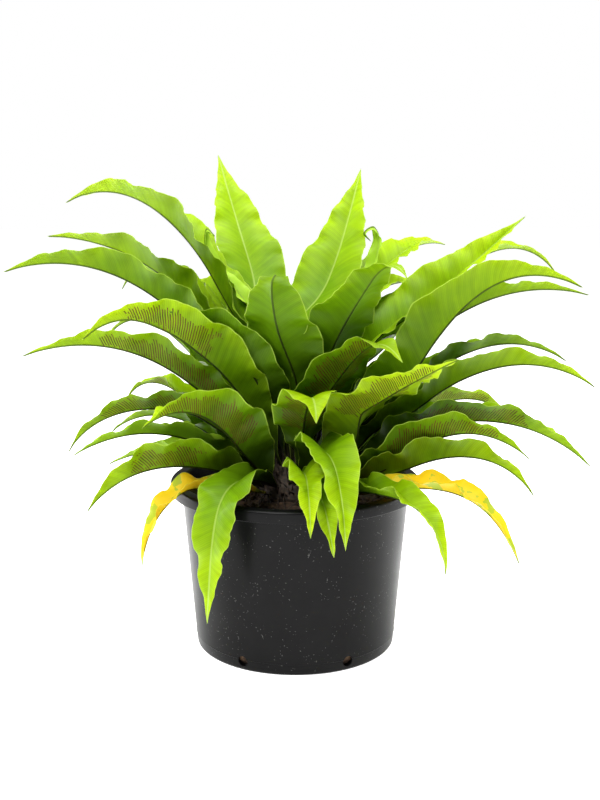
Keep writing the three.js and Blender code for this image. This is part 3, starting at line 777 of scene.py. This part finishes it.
def leaf():
    """A fern blade: green that brightens toward the tip, partly its own colour and partly painted shade near
    the crown and painted light at the tip, fine slanting veins, a pale edge, a midrib, spores beneath, and
    light that comes through it."""
    look, shader, add = material("fern_blade")

    def field(name):
        split = add("ShaderNodeSeparateXYZ")
        wire(look, add("ShaderNodeAttribute", attribute_name=name).outputs["Vector"], split.inputs[0])
        return split.outputs

    def scaled(value, factor):
        return maths(look, add, "MULTIPLY", value, factor)

    def total(first, second):
        return maths(look, add, "ADD", first, second)

    place, u, face = field("blade")
    length, across, spores = field("span")
    tone, young, yellow = field("age")
    out = maths(look, add, "ABSOLUTE", u)
    beneath = maths(look, add, "LESS_THAN", face, 0.0)

    # Green, brighter toward the edges, and dark at the crown and bright at the tip: partly the blade's own
    # colour, partly painted shade near the crown and painted light at the tip
    mottle = noise_field(look, add, 28, 4)
    # The share along the blade paints shade near the crown and light toward the tip
    grade_with_painted_light = total(scaled(place, 0.62), scaled(mottle, 0.30))
    grade_with_painted_light = total(grade_with_painted_light, scaled(tone, 0.22))
    grade_with_painted_light = total(grade_with_painted_light, scaled(maths(look, add, "POWER", out, 3.0), 0.10))
    upper = [
        (0.00, (0.010, 0.024, 0.0006)),
        (0.22, (0.048, 0.115, 0.0006)),
        (0.50, (0.150, 0.300, 0.001)),
        (0.75, (0.320, 0.500, 0.002)),
        (1.00, (0.480, 0.640, 0.008)),
    ]
    # Beneath, the same green a little darker: painted shade on the undersides
    under = [
        (0.00, (0.008, 0.020, 0.0006)),
        (0.25, (0.038, 0.095, 0.0006)),
        (0.55, (0.115, 0.235, 0.001)),
        (0.80, (0.250, 0.400, 0.002)),
        (1.00, (0.400, 0.550, 0.008)),
    ]
    colour = blended(look, add, beneath, ramp(look, add, grade_with_painted_light, upper), ramp(look, add, grade_with_painted_light, under))

    # Slanting veins, streaks beside them, and painted shade that darkens the blade toward the crown
    reach = maths(look, add, "ABSOLUTE", across)
    vein_place = maths(look, add, "SUBTRACT", length, scaled(reach, BLADE["vein_slope"]))
    wobble = scaled(noise_field(look, add, 45, 2), 0.004)
    vein_place = total(vein_place, wobble)
    veins = maths(look, add, "SINE", scaled(vein_place, 2 * math.pi / MARKS["vein_spacing"]))
    grain_place = add("ShaderNodeCombineXYZ")
    wire(look, scaled(vein_place, 170.0), grain_place.inputs[0])
    wire(look, scaled(across, 14.0), grain_place.inputs[1])
    wire(look, scaled(tone, 40.0), grain_place.inputs[2])
    streaks = noise_field(look, add, 1.0, 3, grain_place.outputs[0])
    shade = total(scaled(veins, 0.07), scaled(streaks, 0.62))
    shade = total(shade, 0.69)
    # Painted shade: the colour is multiplied darker toward the crown, darkest at the blade's foot
    painted_crown_shade = add("ShaderNodeMapRange", interpolation_type="SMOOTHSTEP")
    wire(look, place, painted_crown_shade.inputs["Value"])
    painted_crown_shade.inputs["From Max"].default_value = MARKS["painted_shade_end"]
    painted_crown_shade.inputs["To Min"].default_value = MARKS["deepest_painted_shade"]
    shade = scaled(shade, painted_crown_shade.outputs[0])
    combine = add("ShaderNodeCombineColor")
    for socket in combine.inputs[:3]:
        wire(look, shade, socket)
    colour = blended(look, add, 1.0, colour, combine.outputs[0], "MULTIPLY")

    # Age: a fresh light green, or yellow with green left in patches and a withered tip
    young_green, old_yellow, old_green = (0.40, 0.62, 0.045), (0.72, 0.58, 0.020), (0.42, 0.50, 0.035)
    withered = (0.20, 0.11, 0.03)
    colour = blended(look, add, scaled(young, 0.8), colour, young_green)
    patches = noise_field(look, add, 34, 3)
    green_left = maths(look, add, "GREATER_THAN", patches, 0.56)
    old = blended(look, add, green_left, old_yellow, old_green)
    tip_brown = maths(look, add, "GREATER_THAN", place, MARKS["withered_tip"])
    old = blended(look, add, tip_brown, old, withered)
    colour = blended(look, add, scaled(yellow, 0.92), colour, old)

    # Midrib, pale above and dark beneath, and the pale rim
    pale_stops = [(0.0, (0.05, 0.06, 0.01)), (0.25, (0.20, 0.33, 0.04)), (0.8, (0.42, 0.60, 0.09))]
    dark_stops = [(0.0, (0.006, 0.004, 0.002)), (0.6, (0.010, 0.010, 0.003)), (0.9, (0.08, 0.14, 0.01))]
    pale_rim = (0.45, 0.62, 0.09)
    rib = maths(look, add, "LESS_THAN", reach, MARKS["rib_half_width"])
    pale_rib = ramp(look, add, place, pale_stops)
    dark_rib = ramp(look, add, place, dark_stops)
    rib_colour = blended(look, add, beneath, pale_rib, dark_rib)
    colour = blended(look, add, scaled(rib, 0.85), colour, rib_colour)
    rim = maths(look, add, "GREATER_THAN", out, MARKS["rim_start"])
    colour = blended(look, add, scaled(rim, 0.55), colour, pale_rim)

    # Spores: stripes in line with the veins, each one with its own start and end
    stripes = maths(look, add, "DIVIDE", vein_place, MARKS["spore_spacing"])
    stripe = maths(look, add, "LESS_THAN", maths(look, add, "FRACT", stripes), MARKS["spore_width"])
    hand = scaled(maths(look, add, "SIGN", u), 400.0)
    lot = add("ShaderNodeTexWhiteNoise", noise_dimensions="1D")
    wire(look, maths(look, add, "FLOOR", total(stripes, hand)), lot.inputs["W"])
    inner = maths(look, add, "GREATER_THAN", out, scaled(lot.outputs["Value"], 0.14))
    patchy = noise_field(look, add, 90, 2)
    ends = total(0.30, scaled(lot.outputs["Value"], 0.25))
    ends = total(ends, scaled(patchy, 0.45))
    outer = maths(look, add, "LESS_THAN", out, ends)
    ripe = scaled(scaled(stripe, inner), outer)
    ripe = scaled(ripe, beneath)
    present = maths(look, add, "GREATER_THAN", spores, scaled(patchy, 1.1))
    ripe = scaled(ripe, present)
    rust = ramp(look, add, patchy, [(0.3, (0.055, 0.018, 0.005)), (0.7, (0.16, 0.060, 0.016))])
    colour = blended(look, add, scaled(ripe, 0.88), colour, rust)

    # The dark stalk
    stalk_brown = (0.014, 0.010, 0.005)
    from_foot = maths(look, add, "DIVIDE", place, MARKS["brown_stalk"])
    stalk = maths(look, add, "SUBTRACT", 1.0, from_foot, clamp=True)
    colour = blended(look, add, scaled(stalk, 0.9), colour, stalk_brown)

    wire(look, colour, shader.inputs["Base Color"])
    gloss = add("ShaderNodeMapRange")
    wire(look, mottle, gloss.inputs["Value"])
    gloss.inputs["To Min"].default_value = 0.34
    gloss.inputs["To Max"].default_value = 0.52
    wire(look, gloss.outputs[0], shader.inputs["Roughness"])
    shader.inputs["Specular IOR Level"].default_value = 0.16
    bumped(look, add, shader, total(scaled(veins, 0.25), scaled(ripe, 1.6)), 0.35, 0.0004)

    # Light that comes through the blade
    leaf_light = (1.6, 1.35, 0.5)
    through = add("ShaderNodeBsdfTranslucent")
    wire(look, blended(look, add, 1.0, colour, leaf_light, "MULTIPLY"), through.inputs["Color"])
    both = add("ShaderNodeMixShader")
    both.inputs["Fac"].default_value = MARKS["light_through"]
    wire(look, shader.outputs[0], both.inputs[1])
    wire(look, through.outputs[0], both.inputs[2])
    wire(look, both.outputs[0], look.node_tree.nodes["Material Output"].inputs["Surface"])
    return look


leaf_look = leaf()
frond_names = sorted(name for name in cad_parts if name.startswith("frond_"))
for number, name in enumerate(frond_names):
    frond = frond_piece(name, number)
    frond.data.materials.append(leaf_look)
    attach(frond, "root")
    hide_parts(name)

# The studio is a pale seamless floor with an even white surround. One soft light stands in front and one
# hangs above, and one on each side draws an upright sheen on the pot.
STUDIO = {
    "floor_radius": 9.0,
    "floor_sides": 96,
    "surround": 0.27,
    "floor_glow": 0.74,
    "seen_surround": 1.0,
}
LIGHTS = [
    # name, place, aimed at, size, power
    ("key", (-0.8, -1.7, 2.5), (0.0, 0.0, 0.35), (1.2, 1.2), 96),
    ("top", (0.3, 0.4, 2.7), (0.0, 0.0, 0.3), (1.8, 1.8), 76),
    ("left_side", (-1.75, 0.45, 0.75), (0.0, 0.0, 0.25), (1.0, 1.5), 44),
    ("right_side", (1.75, 0.55, 0.75), (0.0, 0.0, 0.25), (1.0, 1.5), 40),
]
for name, place, aim, size, power in LIGHTS:
    lamp = bpy.data.lights.new(name, "AREA")
    lamp.shape = "RECTANGLE"
    lamp.size, lamp.size_y = size
    lamp.energy = power
    lamp_object = bpy.data.objects.new(name, lamp)
    lamp_object.location = place
    lamp_object.rotation_euler = (Vector(aim) - Vector(place)).to_track_quat("-Z", "Y").to_euler()
    bpy.context.scene.collection.objects.link(lamp_object)

world = bpy.data.worlds.new("surround")
bpy.context.scene.world = world
world.use_nodes = True
sky = world.node_tree.nodes["Background"]
sky.inputs["Color"].default_value = (1, 1, 1, 1)
path = world.node_tree.nodes.new("ShaderNodeLightPath")
level = world.node_tree.nodes.new("ShaderNodeMapRange")
level.inputs["To Min"].default_value = STUDIO["surround"]
level.inputs["To Max"].default_value = STUDIO["seen_surround"]
world.node_tree.links.new(path.outputs["Is Camera Ray"], level.inputs["Value"])
world.node_tree.links.new(level.outputs[0], sky.inputs["Strength"])

floor_sides = STUDIO["floor_sides"]
floor_edge = []
for k in range(floor_sides):
    angle = 2 * math.pi * k / floor_sides
    floor_edge.append((STUDIO["floor_radius"] * math.cos(angle), STUDIO["floor_radius"] * math.sin(angle), 0))
floor = mesh_object("floor", floor_edge, [tuple(range(floor_sides))], smooth=False)
floor_look, floor_shader, floor_add = material("pale_floor")
floor_shader.inputs["Base Color"].default_value = (0.93, 0.93, 0.93, 1)
floor_shader.inputs["Roughness"].default_value = 0.9
floor_shader.inputs["Specular IOR Level"].default_value = 0.1
floor_shader.inputs["Emission Color"].default_value = (1, 1, 1, 1)
floor_shader.inputs["Emission Strength"].default_value = STUDIO["floor_glow"]
floor.data.materials.append(floor_look)

# The camera stands level with the top of the plant and looks down a little, as in the photograph. Its focal
# length and the plant's drift from the middle are in pixels of a frame 800 high.
CAMERA = {
    "place": (0.0, -1.486, 0.605),
    "down": 11.29,
    "focal_pixels": 1229.0,
    "frame_height": 800,
    "drift": 4.7,
}
camera_data = bpy.data.cameras.new("camera")
camera_data.sensor_width = 36.0
camera_data.lens = camera_data.sensor_width * CAMERA["focal_pixels"] / CAMERA["frame_height"]
camera_data.shift_x = CAMERA["drift"] / CAMERA["frame_height"]
camera_data.clip_start = 0.02
camera = bpy.data.objects.new("camera", camera_data)
camera.location = CAMERA["place"]
camera.rotation_euler = (math.radians(90 - CAMERA["down"]), 0, 0)
bpy.context.scene.collection.objects.link(camera)
bpy.context.scene.camera = camera
bpy.context.scene.view_settings.view_transform = "Standard"
bpy.context.scene.view_settings.look = "None"
